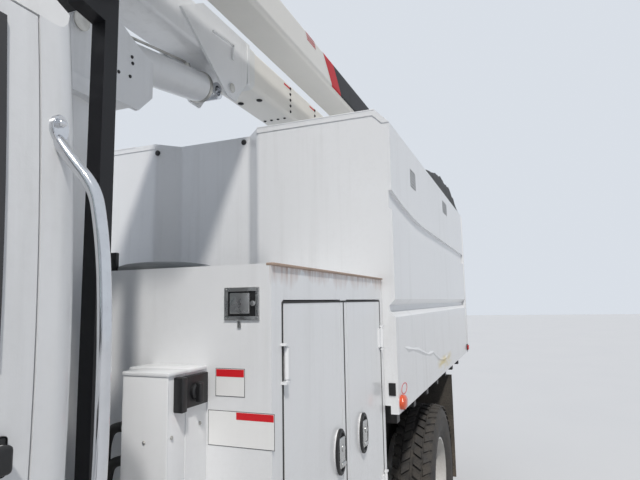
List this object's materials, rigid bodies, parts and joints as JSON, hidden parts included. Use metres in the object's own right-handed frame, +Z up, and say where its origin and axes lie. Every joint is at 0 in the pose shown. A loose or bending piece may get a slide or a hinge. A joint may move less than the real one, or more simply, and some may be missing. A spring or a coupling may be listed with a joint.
{
  "type": "forestry bucket truck",
  "caption": "White forestry bucket truck with a conventional cab, tool boxes, a roofed chip box and a folded side-by-side aerial lift.",
  "frame": {"origin": "middle of the machine's length and width, on the ground", "axes": "+X forward, +Y towards the driver's side, +Z up"},
  "size_m": [9.08, 2.8, 3.8699],
  "materials": {
    "white_paint": "satin",
    "black_paint": "satin",
    "engine_grey": "matte",
    "tank_aluminium": "satin",
    "chrome_steel": "gloss",
    "window_glass": "gloss",
    "seat_vinyl": "matte",
    "cab_plastic": "matte",
    "flap_rubber": "matte",
    "lamp_plastic": "gloss",
    "tyre_rubber": "matte",
    "wheel_paint": "satin",
    "cream_fibreglass": "satin",
    "bucket_fibreglass": "satin"
  },
  "bodies": {
    "chassis": {"frame": "black_paint", "front_axle": "black_paint", "rear_axle": "black_paint", "engine": "engine_grey", "tanks": "tank_aluminium", "bumper": "chrome_steel", "cab_shell": "white_paint", "cab_glass": "window_glass", "seats": "seat_vinyl", "dashboard": "cab_plastic", "mirrors": "cab_plastic", "cab_guard": "black_paint", "grab_handles": "chrome_steel", "tool_boxes": "white_paint", "hydraulics": "white_paint", "pedestal": "white_paint", "chip_floor": "white_paint", "chip_sides": "white_paint", "chip_front": "white_paint", "chip_roof": "white_paint", "mud_flaps": "flap_rubber", "lamps": "lamp_plastic"},
    "hood": {"hood": "white_paint", "grille": "chrome_steel", "headlamps": "lamp_plastic"},
    "cab_door_left": {"door_left": "white_paint", "door_glass_left": "window_glass"},
    "cab_door_right": {"door_right": "white_paint", "door_glass_right": "window_glass"},
    "tool_door_left_front": {"tool_door_left_front": "white_paint"},
    "tool_door_left_rear": {"tool_door_left_rear": "white_paint"},
    "tool_door_right_front": {"tool_door_right_front": "white_paint"},
    "tool_door_right_rear": {"tool_door_right_rear": "white_paint"},
    "chip_gate": {"chip_gate": "white_paint"},
    "knuckle_left": {"knuckle_left": "black_paint"},
    "knuckle_right": {"knuckle_right": "black_paint"},
    "wheel_front_left": {"tyre_front_left": "tyre_rubber", "rim_front_left": "wheel_paint"},
    "wheel_front_right": {"tyre_front_right": "tyre_rubber", "rim_front_right": "wheel_paint"},
    "wheels_rear_left": {"tyres_rear_left": "tyre_rubber", "rims_rear_left": "wheel_paint"},
    "wheels_rear_right": {"tyres_rear_right": "tyre_rubber", "rims_rear_right": "wheel_paint"},
    "turret": {"turret": "white_paint"},
    "lower_boom": {"lower_boom_steel": "white_paint", "lower_boom_insert": "cream_fibreglass"},
    "upper_boom": {"upper_boom_steel": "white_paint", "upper_boom_insert": "cream_fibreglass"},
    "bucket": {"bucket": "bucket_fibreglass"},
    "lift_barrel": {"lift_barrel": "white_paint"},
    "lift_rod": {"lift_rod": "chrome_steel"}
  },
  "joints": [
    {"name": "hood_tilt", "type": "hinge", "parent": "chassis", "child": "hood", "pos_m": [4.4, 0, 0.83], "axis": [0, 1, 0], "range_deg": [0, 60]},
    {"name": "cab_door_left_swing", "type": "hinge", "parent": "chassis", "child": "cab_door_left", "pos_m": [3.035, 1.055, 1.7], "axis": [0, 0, -1], "range_deg": [0, 65]},
    {"name": "cab_door_right_swing", "type": "hinge", "parent": "chassis", "child": "cab_door_right", "pos_m": [3.035, -1.055, 1.7], "axis": [0, 0, 1], "range_deg": [0, 65]},
    {"name": "tool_door_left_front_swing", "type": "hinge", "parent": "chassis", "child": "tool_door_left_front", "pos_m": [1.1555, 1.162, 1.27], "axis": [0, 0, -1], "range_deg": [0, 100]},
    {"name": "tool_door_left_rear_swing", "type": "hinge", "parent": "chassis", "child": "tool_door_left_rear", "pos_m": [0.0745, 1.162, 1.27], "axis": [0, 0, 1], "range_deg": [0, 100]},
    {"name": "tool_door_right_front_swing", "type": "hinge", "parent": "chassis", "child": "tool_door_right_front", "pos_m": [1.1555, -1.162, 1.27], "axis": [0, 0, 1], "range_deg": [0, 100]},
    {"name": "tool_door_right_rear_swing", "type": "hinge", "parent": "chassis", "child": "tool_door_right_rear", "pos_m": [0.0745, -1.162, 1.27], "axis": [0, 0, -1], "range_deg": [0, 100]},
    {"name": "chip_gate_swing", "type": "hinge", "parent": "chassis", "child": "chip_gate", "pos_m": [-3.298, -1.232, 1.9], "axis": [0, 0, 1], "range_deg": [0, 100]},
    {"name": "steering_left", "type": "hinge", "parent": "chassis", "child": "knuckle_left", "pos_m": [3.52, 0.86, 0.495], "axis": [0, 0, 1], "range_deg": [-35, 35]},
    {"name": "steering_right", "type": "hinge", "parent": "chassis", "child": "knuckle_right", "pos_m": [3.52, -0.86, 0.495], "axis": [0, 0, 1], "range_deg": [-35, 35]},
    {"name": "wheel_front_left_spin", "type": "hinge", "parent": "knuckle_left", "child": "wheel_front_left", "pos_m": [3.52, 1.035, 0.515], "axis": [0, 1, 0], "continuous": true},
    {"name": "wheel_front_right_spin", "type": "hinge", "parent": "knuckle_right", "child": "wheel_front_right", "pos_m": [3.52, -1.035, 0.515], "axis": [0, 1, 0], "continuous": true},
    {"name": "wheels_rear_left_spin", "type": "hinge", "parent": "chassis", "child": "wheels_rear_left", "pos_m": [-1.31, 0.91, 0.515], "axis": [0, 1, 0], "continuous": true},
    {"name": "wheels_rear_right_spin", "type": "hinge", "parent": "chassis", "child": "wheels_rear_right", "pos_m": [-1.31, -0.91, 0.515], "axis": [0, 1, 0], "continuous": true},
    {"name": "turret_rotation", "type": "hinge", "parent": "chassis", "child": "turret", "pos_m": [1.14, 0, 2.64], "axis": [0, 0, 1], "continuous": true},
    {"name": "lower_boom_lift", "type": "hinge", "parent": "turret", "child": "lower_boom", "pos_m": [1.42, 0.095, 3.36], "axis": [0, 1, 0], "range_deg": [0, 90]},
    {"name": "upper_boom_unfold", "type": "hinge", "parent": "lower_boom", "child": "upper_boom", "pos_m": [-4.36, 0.448, 3.42], "axis": [0, -1, 0], "range_deg": [0, 180]},
    {"name": "bucket_level", "type": "hinge", "parent": "upper_boom", "child": "bucket", "pos_m": [1.55, 0.94, 3.5], "axis": [0, -1, 0], "range_deg": [-180, 90]},
    {"name": "lift_barrel_swing", "type": "hinge", "parent": "turret", "child": "lift_barrel", "pos_m": [1.12, 0.095, 2.9], "axis": [0, 1, 0], "range_deg": [0, 82]},
    {"name": "lift_rod_slide", "type": "slide", "parent": "lift_barrel", "child": "lift_rod", "axis": [-0.9868, 0, 0.1616], "range_m": [0, 0.75]}
  ],
  "couplings": [
    {"joint": "steering_right", "follows": "steering_left", "ratio": 1},
    {"joint": "lift_barrel_swing", "follows": "lower_boom_lift", "ratio": 0.9065},
    {"joint": "lift_rod_slide", "follows": "lower_boom_lift", "m_per_rad": 0.474}
  ]
}
